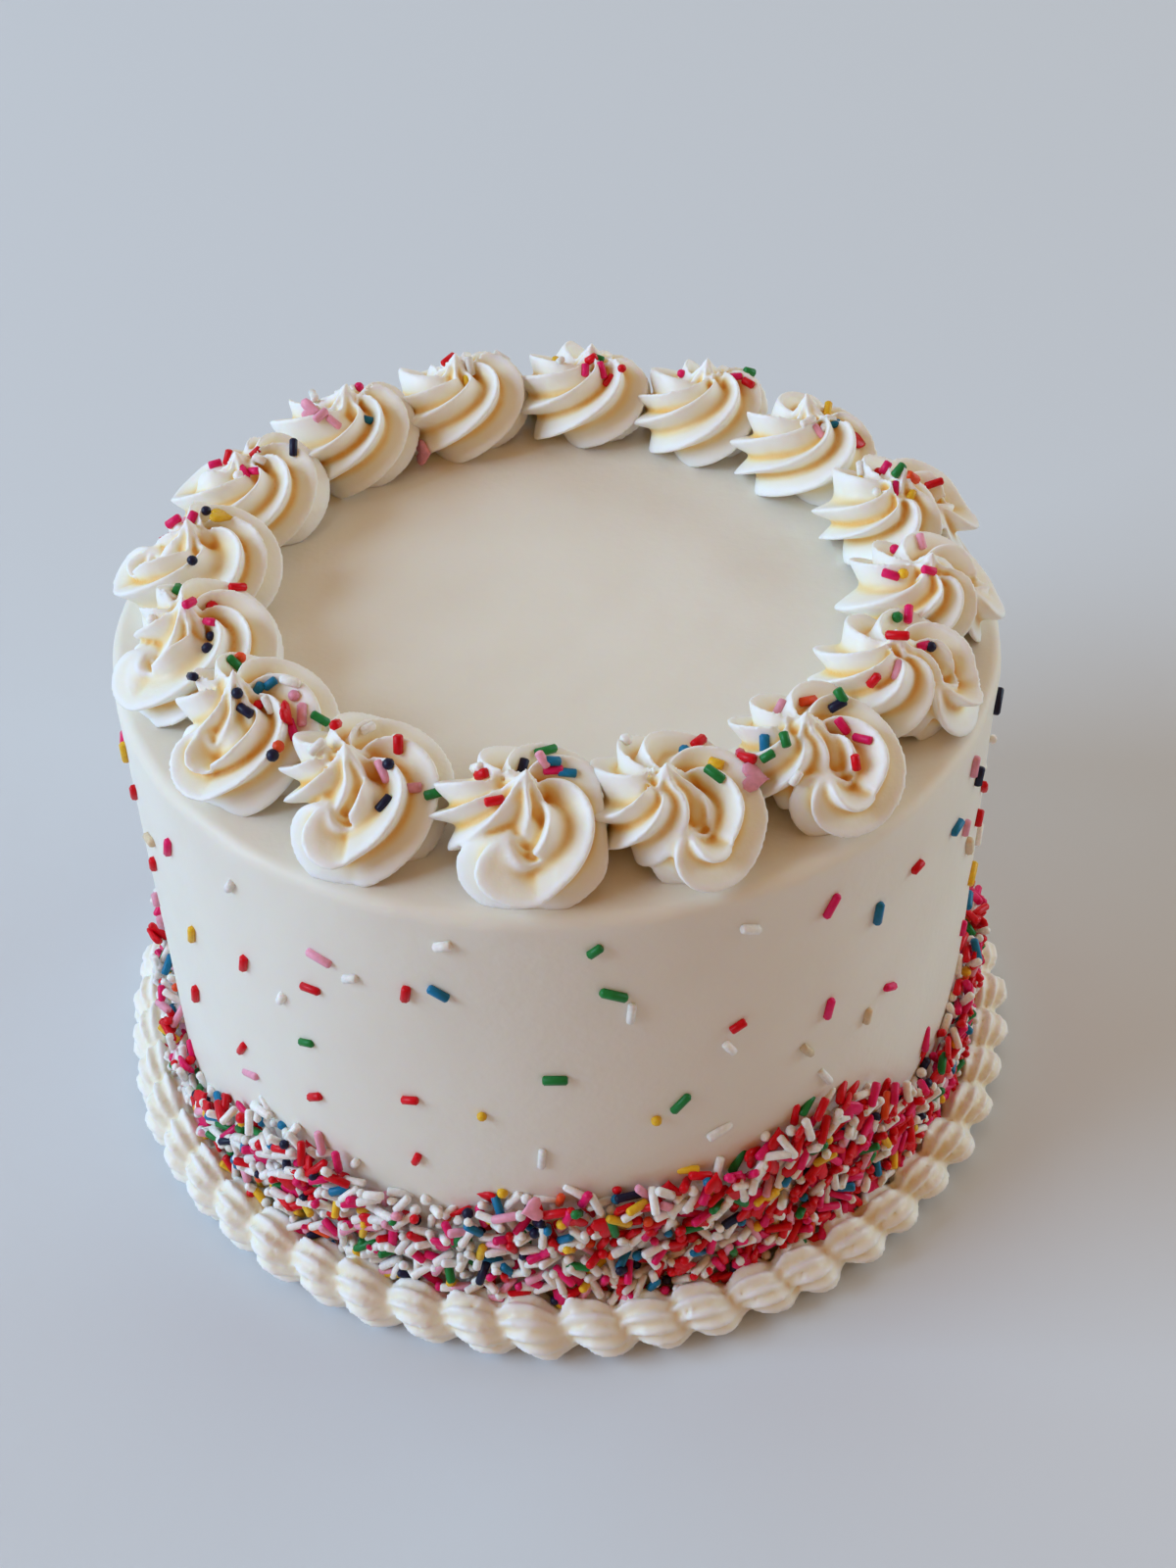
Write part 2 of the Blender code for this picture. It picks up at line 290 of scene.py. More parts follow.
def coveredCake():
    # A profile turned round the axis: base, wall, rounded rim, top. A point's radius is the profile's radius
    # plus sideWander times a sum of long shallow ripples, as a scraper leaves them, and its height is the
    # profile's height plus topWander times curved spatula strokes.
    rng = np.random.default_rng(3)
    bearing = np.linspace(0, 2 * np.pi, cake["columns"], endpoint=False)[None, :]
    edge = cake["height"] - cake["rim"]
    turn = np.linspace(0, np.pi / 2, 9)[1:]
    underside = np.linspace(0.02, 0.98, 8)
    radius = np.concatenate([
        underside * cake["radius"],
        np.full(cake["wallRings"], cake["radius"]),
        cake["radius"] - cake["rim"] * (1 - np.cos(turn)),
        (cake["radius"] - cake["rim"]) * np.linspace(1, 0.004, cake["topRings"] + 1)[1:],
    ])[:, None]
    height = np.concatenate([
        0 * underside,
        np.linspace(0, edge, cake["wallRings"]),
        edge + cake["rim"] * np.sin(turn),
        np.full(cake["topRings"], cake["height"]),
    ])[:, None]
    side = ripples(bearing, height, rng, 9, (1, 11), (0.05, 0.3))
    strokes = ripples(bearing, radius, rng, 12, (1, 5), (0.02, 0.09))
    onSide = ease(height, 0.002, 0.01) * (1 - ease(height, edge, cake["height"]))
    onTop = ease(height, cake["height"] - 0.0001, cake["height"]) * ease(radius, 0.0, 0.03)
    onTop = onTop * (1 - ease(radius, 0.085, 0.099))
    onRim = ease(height, edge - 0.004, edge)
    softRim = cake["rimWander"] * ripples(bearing, 0 * height, rng, 8, (3, 23), (1, 2)) * onRim
    out = radius + cake["sideWander"] * side * onSide + softRim
    up = height + cake["topWander"] * strokes * onTop
    piece = putMesh("coveredCake", *closedTubes(roundTheCake(out, bearing, up)[None]))
    return finishPiece(piece, looks["smooth"], "buttercream", "cake")


coveredCake()
print("covered cake turned")


rosettes = dict(
    count=16,
    firstBearing=math.radians(-29.4),
    ringRadius=0.0832,
    # degrees that each stands off its even place, and mm that its peak leans further the same way
    strays=(-0.8, 1.3, -1.0, -0.9, -0.6, -1.7, -1.4, 1.2, 0.4, -0.5, 0.5, -0.3, 1.2, 0.4, -0.4, -1.2),
    leans=(-0.8, 1.4, -1.1, -1.0, -0.7, -2.0, -1.8, 1.5, 0.4, -0.6, 0.6, -0.4, 1.5, 0.5, -0.4, -1.5),
    seat=-0.0003,          # how far each sinks into the top
    starts=(62, 104),      # degrees round from the left, seen from outside, where the nozzle first presses
    turns=(1.4, 1.58),     # of the rope, from its start to the peak
    ropeRadius=0.0111,
    coilRadius=0.0092,
    meeting=1.1,           # its spread beside a neighbour, as a share of the way to the line between the two
    ropeHeight=0.0066,
    climb=0.0066,
    peak=0.0106,
    pressed=0.07,          # share of the rope's length that is pressed out in place
    closing=0.3,           # where the coil begins to close, the rope begins to lift, and the coil is closed
    lifting=0.57,
    closed=0.87,
    eyeHeight=0.007,       # how far the start stands above the rope
    eyeHollow=0.7,         # how far the rope thins on the inside of its first bend
    ridges=7,
    groove=0.5,
    ridgeWidth=0.02,
    thinning=0.13,         # how much thinner the rope is once the coil has closed
    wobble=0.03,           # of the rope's thickness along it
    rings=300,
    columns=168,
    voxel=0.0005,
    smoothing=4,
    creaseRounds=26,       # of smoothing between the skin and the one that its creases are measured from
    creaseDepth=0.0016,
)


def pipedRope(cup, rng, sideLean):
    # A star-shaped rope: it starts as a cap under the nozzle, bends over into a coil, rises, closes in and is
    # pulled up to a peak. The nozzle isn't turned as it goes round, so each ridge keeps its direction.
    # A point is the rope's middle, plus the rope's size times the star, along the two ways across the rope.
    # The star is 1 - groove * |sin(ridges * angle / 2)|, a little rounded at its ridges.
    u = np.linspace(0, 1, cup["rings"])[:, None]
    phi = np.linspace(0, 2 * np.pi, cup["columns"], endpoint=False)[None, :]
    # no way round at first, then an even pace
    run = u - cup["pressed"] * (1 - np.exp(-u / cup["pressed"]))
    angle = math.radians(rng.uniform(*cup["starts"])) + 2 * np.pi * rng.uniform(*cup["turns"]) * run / run[-1]
    lift = np.clip((u - cup["lifting"]) / (1 - cup["lifting"]), 0, 1)
    coil = cup["coilRadius"] * rng.uniform(0.95, 1.05) * (1 - ease(u, cup["closing"], cup["closed"]))
    rise = cup["ropeHeight"] + cup["climb"] * ease(u, 0, cup["closed"])
    rise = rise + cup["peak"] * rng.uniform(0.85, 1.1) * lift ** 1.5
    rise = rise + cup["eyeHeight"] * rng.uniform(0.85, 1.1) * np.clip(1 - u / 0.1, 0, 1) ** 1.5
    size = cup["ropeRadius"] * rng.uniform(0.97, 1.03) * np.sqrt(1 - np.clip(1 - u / 0.08, 0, 1) ** 2)
    size = size * (1 - cup["thinning"] * ease(u, 0.35, cup["closed"])) * (1 - lift ** rng.uniform(1.05, 1.3))
    size = size * (1 + cup["wobble"] * np.cos(2 * np.pi * u * rng.uniform(3, 6) + rng.uniform(0, 6)))
    lean = (sideLean, rng.uniform(-0.001, 0.0015))
    middle = np.concatenate([
        coil * np.cos(angle) + lean[0] * lift ** 2,
        coil * np.sin(angle) + lean[1] * lift ** 2,
        rise,
    ], 1)
    step = np.gradient(middle, axis=0)
    pitch = np.arctan2(step[:, 2:], np.hypot(step[:, :1], step[:, 1:2]))
    heading = angle + np.pi / 2
    ahead = np.concatenate([np.cos(heading), np.sin(heading), 0 * heading], 1)
    left = np.concatenate([-np.sin(heading), np.cos(heading), 0 * heading], 1)
    over = -np.sin(pitch) * ahead + np.cos(pitch) * np.array([[0, 0, 1]])
    turned = phi + rng.uniform(0, 2 * np.pi) - heading
    warped = phi + 0.1 * np.sin(2 * phi + rng.uniform(0, 6)) + 0.07 * np.sin(3 * phi + rng.uniform(0, 6))
    tooth = np.sin(0.5 * cup["ridges"] * warped) ** 2
    deep = cup["groove"] * (1 + 0.12 * np.sin(phi + 5 * u + rng.uniform(0, 6)))
    star = 1 - deep * (np.sqrt(tooth + cup["ridgeWidth"]) - math.sqrt(cup["ridgeWidth"]))
    inside = np.clip(-np.cos(turned), 0, 1) * (1 - ease(u, 0.06, 0.16))
    out = size * star * (1 - cup["eyeHollow"] * inside)
    points = (
        middle[:, None, :]
        - (out * np.cos(turned))[..., None] * over[:, None, :]
        + (out * np.sin(turned))[..., None] * left[:, None, :]
    )
    points[..., 2] = np.maximum(points[..., 2], 0)
    return points


def rosetteBearing(index):
    # counting on past the last goes on round the ring
    even = rosettes["firstBearing"] + index * 2 * np.pi / rosettes["count"]
    return even + math.radians(rosettes["strays"][index % rosettes["count"]])


def rosette(index):
    rng = np.random.default_rng(300 + index)
    bearing = rosetteBearing(index)
    before, after = bearing - rosetteBearing(index - 1), rosetteBearing(index + 1) - bearing
    # in the rosette's own frame, +Y points away from the cake's axis and +X clockwise round it
    points = pipedRope(rosettes, rng, -0.001 * rosettes["leans"][index])
    across, away, up = points[..., 0], points[..., 1], points[..., 2]
    # beside a neighbour the cream spreads to the line between the two and gives way there
    room = (rosettes["ringRadius"] + away) * np.tan(np.where(across > 0, before, after) / 2)
    over = np.abs(across) / room
    for side in (across > 0, across <= 0):
        over[side] = over[side] * max(1.0, rosettes["meeting"] / over[side].max())
    given = np.where(over > 0.92, 0.92 + 0.2 * np.tanh((over - 0.92) / 0.2), over)
    across = np.sign(across) * given * room
    outward = np.array([math.sin(bearing), -math.cos(bearing), 0])
    sideways = np.array([-math.cos(bearing), -math.sin(bearing), 0])
    base = rosettes["ringRadius"] * outward + (0, 0, cake["height"] + rosettes["seat"])
    placed = base + across[..., None] * sideways + away[..., None] * outward + up[..., None] * (0, 0, 1)
    piece = putMesh(f"pipedRosette{index + 1:02d}", *closedTubes(placed[None]))
    mesh = fusedSkin(piece, rosettes["voxel"], rosettes["smoothing"])
    # marks the valleys and ridges where the piped cream's colour paints shade and highlight
    markCreases(mesh, rosettes["creaseRounds"], rosettes["creaseDepth"])
    return finishPiece(piece, looks["piped"], "piped_buttercream", f"rosette_{index + 1:02d}")


rosettePieces = [rosette(index) for index in range(rosettes["count"])]
print("rosettes piped:", sum(len(piece.data.polygons) for piece in rosettePieces), "faces")


border = dict(
    shells=52,
    pathRadius=0.1098,
    halfWidth=0.0078,
    halfHeight=0.0078,
    length=1.15,           # of a shell, in shell pitches
    head=0.36,             # of a shell's own length, from its blunt end to its fattest
    tail=0.62,             # how much thinner it ends than its fattest
    ridges=12,
    groove=0.38,
    scallop=0.2,           # how far each ridge's end stands out of the head, in shell pitches
    backLean=0.34,         # of the top, in shell pitches
    tip=0.55,              # how far the ridge beside the cake is drawn up, as a share of the shell
    tipAngle=1.8,          # of that ridge round the shell, and how wide it is
    tipWidth=0.42,
    tipPlace=0.16,         # of it along the shell, and how long it is
    tipLength=0.12,
    centre=(0.62, 0.34),   # height of the middle at the shell's thinnest, and what is added at its fattest
    rings=54,
    columns=110,
    voxel=0.0008,
    smoothing=2,
    creaseRounds=8,
    creaseDepth=0.0036,
)


def shellBorder():
    # Each shell is a short fluted rope with a fat blunt head, laid forward along the foot and dying away to a
    # tail under the head of the next. A point stands off the shell's middle by its swell times its star, and
    # the star is 1 - groove * (1 - |cos(ridges * angle / 2)|). The array is (shell, along, round).
    rng = np.random.default_rng(21)
    count = border["shells"]
    u = np.linspace(0, 1, border["rings"])[None, :, None]
    phi = np.linspace(0, 2 * np.pi, border["columns"], endpoint=False)[None, None, :]

    def each(low, high):
        return rng.uniform(low, high, (count, 1, 1))

    pitch = 2 * np.pi / count
    early = np.clip(1 - u / border["head"], 0, 1)
    swell = np.sqrt(1 - early ** 2) * (1 - border["tail"] * ease(u, 0.42, 1.0)) * each(0.94, 1.04)
    size = swell * np.sqrt(1 - np.clip((u - 0.92) / 0.08, 0, 1) ** 2)
    ridge = np.sqrt(0.03 + 0.97 * np.cos(0.5 * border["ridges"] * phi + each(0, 3.14)) ** 2)
    star = 1 - border["groove"] * (1 + 0.5 * early) * (1 - ridge)
    fromTip = ((phi - border["tipAngle"]) / border["tipWidth"]) ** 2
    fromTip = fromTip + ((u - border["tipPlace"]) / border["tipLength"]) ** 2
    tip = border["tip"] * each(0.3, 1) * np.exp(-fromTip)
    bearing = (np.arange(count)[:, None, None] + each(-0.07, 0.07) - 0.1 + border["length"] * u) * pitch
    bearing = bearing - pitch * border["scallop"] * (ridge - 0.5) * (1 - ease(u, 0, 0.45))
    # the top of each leans back against the way the border was piped
    bearing = bearing - pitch * border["backLean"] * np.sin(phi) * (1 - 0.6 * u)
    out = border["pathRadius"] + border["halfWidth"] * size * star * np.cos(phi) + 0 * bearing
    low, swollen = border["centre"]
    up = border["halfHeight"] * (low + swollen * swell + size * star * (1 + tip) * np.sin(phi))
    up = np.maximum(up, 0.0) + 0 * bearing
    out = np.maximum(out, cake["radius"] - 0.0003)
    # bearing grows along a shell, so its rings are reversed to face outwards
    piece = putMesh("shellBorder", *closedTubes(roundTheCake(out, bearing, up)[:, :, ::-1]))
    mesh = fusedSkin(piece, border["voxel"], border["smoothing"])
    # marks the valleys and ridges where the piped cream's colour paints shade and highlight
    markCreases(mesh, border["creaseRounds"], border["creaseDepth"])
    return finishPiece(piece, looks["piped"], "piped_buttercream", "shell_border")


borderPiece = shellBorder()
print("shell border piped:", len(borderPiece.data.polygons), "faces")


view = dict(
    lens=47.25,                 # mm, on a 36 mm frame height
    distance=4.689 * cake["radius"],
    elevation=math.radians(36.45),
    pan=math.radians(0.72),
    tilt=math.radians(4.85),
    roll=math.radians(1.87),
    pixelsWide=1200,
    pixelsHigh=1600,
)


def makeCamera():
    # the camera stands over the front, is aimed at the middle of the top, then panned, tilted and rolled
    eye = Vector((
        0,
        -view["distance"] * math.cos(view["elevation"]),
        view["distance"] * math.sin(view["elevation"]),
    ))
    back = eye.normalized()
    right = Vector((1, 0, 0))
    up = back.cross(right)
    aimed = Matrix((right, up, back))
    turned = (
        Matrix.Rotation(view["roll"], 3, "Z")
        @ Matrix.Rotation(view["tilt"], 3, "X")
        @ Matrix.Rotation(view["pan"], 3, "Y")
        @ aimed
    )
    data = bpy.data.cameras.new("camera")
    data.lens = view["lens"]
    data.sensor_width = 36
    data.clip_start = 0.01
    data.clip_end = 20
    camera = bpy.data.objects.new("camera", data)
    bpy.context.scene.collection.objects.link(camera)
    place = turned.transposed().to_4x4()
    place.translation = eye + Vector((0, 0, cake["height"]))
    camera.matrix_world = place
    bpy.context.scene.camera = camera
    return camera


camera = makeCamera()


def sightLine(px, py):
    # from the eye through a pixel of the photo's frame; also the view's right and up directions
    turn = camera.matrix_world.to_3x3()
    focal = view["lens"] / 36 * view["pixelsHigh"]
    ahead = Vector((px - view["pixelsWide"] / 2, view["pixelsHigh"] / 2 - py, -focal))
    return camera.matrix_world.translation, (turn @ ahead).normalized(), turn.col[0], turn.col[1]


sugar = dict(
    rodRadius=(0.00094, 0.0011),
    rodLength=(0.0048, 0.0068),
    singleLength=(0.0034, 0.0064),
    topLength=(0.0031, 0.0052),
    pearlRadius=(0.0011, 0.0014),
    heartWidth=(0.0054, 0.0066),
    heartThickness=0.0006,
    bandPieces=2900,
    bandFoot=0.0105,
    bandDepth=0.0044,      # how far the thickest part of the band stands off the wall
    strayShare=0.04,       # of the band's pieces that lie scattered above its edge
    bandTop=0.08,          # above the highest wave
    edgeDrop=0.0018,       # how far under the band's edge its last pieces lie, and how unevenly
    edgeBlur=0.0011,
    strayReach=0.004,      # of the stray ones above the edge
    evenRule=(0.7548776662, 0.5698402910),      # steps that fill a square evenly, without rows
    steepest=0.5,          # slope of a piece on what lies under it
    tipSpread=dict(rod=0.38, pearl=0.2, heart=0.2),     # how far pieces stand up off the wall
    faceSpread=0.24,       # how far their flat sides turn from it
    morePerRosette=5,      # that are tried where the photo doesn't reach
    moreSpread=0.011,
    mapCell=0.0004,
    mapTop=0.085,
    pressedIn=0.00055,
    rule=dict(rod=0.66, pearl=0.17, heart=0.17),
)

tints = dict(
    white=(0.97, 0.95, 0.915),
    red=(0.76, 0.002, 0.014),
    magenta=(0.85, 0.01, 0.15),
    pink=(0.92, 0.40, 0.54),
    yellow=(0.92, 0.55, 0.03),
    green=(0.016, 0.23, 0.05),
    teal=(0.008, 0.20, 0.40),
    navy=(0.012, 0.014, 0.05),
    orange=(0.88, 0.09, 0.02),
    cream=(0.78, 0.62, 0.42),
)

mixes = dict(
    rod=dict(
        white=0.52, red=0.13, magenta=0.10, pink=0.07, yellow=0.05,
        green=0.06, teal=0.04, navy=0.02, orange=0.01,
    ),
    pearl=dict(white=0.56, red=0.15, navy=0.08, yellow=0.11, teal=0.05, orange=0.05),
    heart=dict(red=0.70, magenta=0.24, pink=0.06),
)


def rodShape():
    # a round bar with softly cut ends: radius 1, and 1 from its middle to each end
    turn = np.linspace(0, 2 * np.pi, 7, endpoint=False)[None, :]
    radius = np.array([0.66, 1.0, 1.0, 0.66])[:, None]
    along = np.array([-0.985, -0.84, 0.84, 0.985])[:, None]
    return closedTubes(np.stack([radius * np.cos(turn), radius * np.sin(turn), along + 0 * turn], -1)[None])


def pearlShape():
    # rings on a ball of radius 1
    turn = np.linspace(0, 2 * np.pi, 9, endpoint=False)[None, :]
    rise = np.linspace(-1.2, 1.2, 5)[:, None]
    ball = np.stack([np.cos(rise) * np.cos(turn), np.cos(rise) * np.sin(turn), np.sin(rise) + 0 * turn], -1)
    verts, quads, tris = closedTubes(ball[None])
    verts[-2:, 2] = (-1, 1)
    return verts, quads, tris


def heartShape():
    # a thin lozenge on the usual heart curve,
    # x = sin^3 t and y = (13 cos t - 5 cos 2t - 2 cos 3t - cos 4t) / 16
    t = -np.linspace(0, 2 * np.pi, 16, endpoint=False)[None, :]
    x = np.sin(t) ** 3
    y = (13 * np.cos(t) - 5 * np.cos(2 * t) - 2 * np.cos(3 * t) - np.cos(4 * t)) / 16
    share = np.array([0.84, 1.0, 1.0, 0.84])[:, None]
    level = np.array([-0.2, -0.08, 0.08, 0.2])[:, None]
    return closedTubes(np.stack([share * x, share * y, level + 0 * t], -1)[None])


shapes = dict(rod=rodShape(), pearl=pearlShape(), heart=heartShape())
laid = dict(rod=[], pearl=[], heart=[])      # (place, axes as columns, tint) of each


def lay(kind, place, along, outward, length, thick, tint):
    # long side along, flat side outward. The axes' columns are the ways that the shape's own x, y and z go.
    along = along / np.linalg.norm(along)
    side = np.cross(outward, along)
    side = side / np.linalg.norm(side)
    face = np.cross(along, side)
    if kind == "rod":
        axes = np.stack([side * thick, face * -thick, along * length / 2], 1)
    elif kind == "pearl":
        axes = np.stack([side, -face, along], 1) * thick
    else:
        axes = np.stack([side, -along, face], 1) * length / 2
    if np.linalg.det(axes) < 0:
        axes[:, 0] = -axes[:, 0]
    laid[kind].append((place, axes, tint))


def shade(rng, name):
    # one tint, a little lighter or darker from piece to piece
    return np.array(tints[name]) * rng.uniform(0.9, 1.08)


def anyTint(rng, kind, reds=1.0):
    # a tint by the kind's mix, in which the reds may count for more
    names = list(mixes[kind])
    shares = np.array([mixes[kind][name] * (reds if name in ("red", "magenta") else 1) for name in names])
    return shade(rng, rng.choice(names, p=shares / shares.sum()))


# the band's wavy upper edge: its mean height, then each wave as how many round the cake, height and angle
bandMean = 0.0435
bandWaves = ((2, 0.0083, -0.63), (6, 0.0053, -2.56), (9, 0.0042, 0.58))


def bandEdge(bearing):
    return bandMean + sum(high * math.cos(times * bearing + angle) for times, high, angle in bandWaves)


def pressBand():
    # Sprinkles are laid one after another on a map of how far the wall already stands out, each on what lies
    # under it, at places of an even rule that leaves no gaps and no rows.
    rng = np.random.default_rng(11)
    cell = sugar["mapCell"]
    wide = int(2 * np.pi * cake["radius"] / cell)
    tall = int(sugar["mapTop"] / cell)
    wall = np.full((wide, tall), -sugar["pressedIn"])
    steps = np.array([-0.75, -0.38, 0.0, 0.38, 0.75])
    foot, top = sugar["bandFoot"], sugar["bandTop"]
    aroundStep, upStep = sugar["evenRule"]
    k = made = 0
    while made < sugar["bandPieces"]:
        k += 1
        bearing = 2 * np.pi * (k * aroundStep % 1)
        height = foot + (top - foot) * (k * upStep % 1)
        edge = bandEdge(bearing) + rng.normal(0, sugar["edgeBlur"]) - sugar["edgeDrop"]
        if rng.random() < sugar["strayShare"]:
            edge += rng.exponential(sugar["strayReach"])
        if height > edge:
            continue
        made += 1
        kind = rng.choice(list(sugar["rule"]), p=list(sugar["rule"].values()))
        redder = ease(math.sin(bearing), -0.35, 0.85)        # the right has more reds and more hearts
        if kind == "heart" and rng.random() > 0.45 + 0.55 * redder:
            kind = "rod"
        tint = anyTint(rng, kind, 0.8 + 1.8 * redder)
        bearing += rng.normal(0, 0.004)
        height += rng.normal(0, 0.0004)
        if kind == "rod":
            thick, length = rng.uniform(*sugar["rodRadius"]), rng.uniform(*sugar["rodLength"])
            half, reach = thick, length / 2
        elif kind == "pearl":
            thick = rng.uniform(*sugar["pearlRadius"])
            length, half, reach = 2 * thick, thick, thick * 0.3
        else:
            thick, length = sugar["heartThickness"], rng.uniform(*sugar["heartWidth"])
            half, reach = length * 0.4, length * 0.42
        lean = rng.uniform(0, np.pi)
        across, rise = math.cos(lean), math.sin(lean)
        # what lies under it, read at five steps along it and three across, gives its depth and slope
        i = (cake["radius"] * bearing + steps * reach * across) / cell
        j = (height + steps * reach * rise) / cell
        off = np.array([[-0.55], [0.0], [0.55]]) * half / cell
        a = np.floor(i - off * rise).astype(int) % wide
        b = np.clip(np.floor(j + off * across).astype(int), 0, tall - 1)
        under = wall[a, b].max(0)
        slope = (under[-1] - under[0]) / ((steps[-1] - steps[0]) * reach)
        slope = np.clip(slope, -sugar["steepest"], sugar["steepest"])
        depth = min((under - slope * steps * reach).max() + 0.82 * thick, sugar["bandDepth"])
        # the map takes the new piece in, as a half-round ridge along its axis
        n = int((reach + half) / cell) + 2
        gi, gj = np.meshgrid(np.arange(-n, n + 1), np.arange(-n, n + 1), indexing="ij")
        along = np.clip(cell * (gi * across + gj * rise), -reach, reach)
        off = np.hypot(cell * gi - along * across, cell * gj - along * rise) / half
        high = depth + slope * along + thick * np.sqrt(np.clip(1 - off ** 2, 0, 1))
        a = (int(cake["radius"] * bearing / cell) + gi) % wide
        b = np.clip(int(height / cell) + gj, 0, tall - 1)
        wall[a, b] = np.maximum(wall[a, b], np.where(off < 1, high, -1))
        outward = np.array([math.sin(bearing), -math.cos(bearing), 0])
        onWall = across * np.array([math.cos(bearing), math.sin(bearing), 0]) + rise * np.array([0, 0, 1])
        tip = rng.normal(0, sugar["tipSpread"][kind])
        place = (cake["radius"] + depth) * outward + (0, 0, height)
        facing = outward + rng.normal(0, sugar["faceSpread"], 3) - slope * onWall
        lay(kind, place, onWall + (slope + tip) * outward, facing, length, thick, tint)


# single ones up the seen front: bearing and lean in degrees, height in mm, kind, tint
singles = (
    (3, 123, 40, "rod", "green"), (5, 110, -25, "rod", "green"), (7, 104, 85, "rod", "white"),
    (-2, 85, 0, "rod", "green"), (-15, 109, -30, "rod", "teal"), (-19, 107, 80, "rod", "red"),
    (-14, 123, 20, "rod", "white"), (-11, 72, -20, "pearl", "yellow"), (-20, 73, 15, "rod", "red"),
    (-20, 53, 70, "rod", "red"), (-4, 59, 85, "rod", "white"), (21, 121, -25, "rod", "white"),
    (32, 118, 60, "rod", "magenta"), (40, 107, 85, "rod", "teal"), (47, 112, 10, "rod", "red"),
    (33, 86, 80, "rod", "magenta"), (20, 93, 25, "rod", "red"), (19, 87, -60, "rod", "white"),
    (13, 73, 50, "rod", "green"), (10, 69, 30, "pearl", "yellow"), (44, 79, -30, "rod", "magenta"),
    (57, 110, 5, "rod", "teal"), (-43, 95, 75, "rod", "red"), (-30, 110, -15, "rod", "pink"),
    (-32, 99, 5, "rod", "red"), (-37, 91, 65, "rod", "white"), (-34, 80, 20, "rod", "green"),
    (-47, 62, 60, "rod", "red"), (-34, 62, 35, "rod", "red"), (-43, 118, 60, "rod", "white"),
    (-57, 112, 70, "rod", "magenta"), (-55, 88, 75, "rod", "yellow"), (-66, 94, 75, "rod", "red"),
    (-26, 107, 25, "rod", "white"), (30, 76, -55, "rod", "cream"), (40, 75, 80, "rod", "cream"),
    (73, 124, 40, "rod", "navy"), (75, 110, -35, "rod", "white"), (61, 122, 80, "rod", "pink"),
    (64, 115, 70, "rod", "navy"), (70, 103, -60, "rod", "red"), (61, 104, 75, "rod", "pink"),
    (69, 95, 55, "rod", "red"), (64, 94, -70, "rod", "cream"), (74, 82, 60, "rod", "white"),
    (71, 74, 20, "rod", "yellow"), (74, 66, -50, "rod", "orange"), (69, 59, 70, "rod", "magenta"),
    (-72, 119, 80, "rod", "yellow"), (-70, 110, 70, "rod", "red"), (-65, 103, 20, "rod", "cream"),
    (-72, 73, -60, "rod", "pink"), (-74, 62, 65, "rod", "pink"), (-58, 64, 75, "rod", "red"),
)
hiddenSingles = 26
seenHalfAngle = math.radians(77)


def pressSingles():
    rng = np.random.default_rng(12)
    places = [
        (math.radians(bearing), height / 1000, math.radians(lean), kind, shade(rng, tint))
        for bearing, height, lean, kind, tint in singles
    ]
    hidden = 2 * np.pi - 2 * seenHalfAngle
    for k in range(hiddenSingles):
        bearing = seenHalfAngle + hidden * (k * goldenShare % 1)
        low, high = bandEdge(bearing) + 0.006, cake["height"] - 0.008
        height = low + (high - low) * (k + 0.5) / hiddenSingles
        places.append((bearing, height, k * goldenAngle, "rod", anyTint(rng, "rod")))
    for bearing, height, lean, kind, tint in places:
        outward = np.array([math.sin(bearing), -math.cos(bearing), 0])
        level = np.array([math.cos(bearing), math.sin(bearing), 0])
        along = math.cos(lean) * level + math.sin(lean) * np.array([0, 0, 1])
        thick = rng.uniform(*sugar[kind + "Radius"])
        place = (cake["radius"] + 0.4 * thick) * outward + (0, 0, height)
        lay(kind, place, along, outward, rng.uniform(*sugar["singleLength"]), thick, tint)


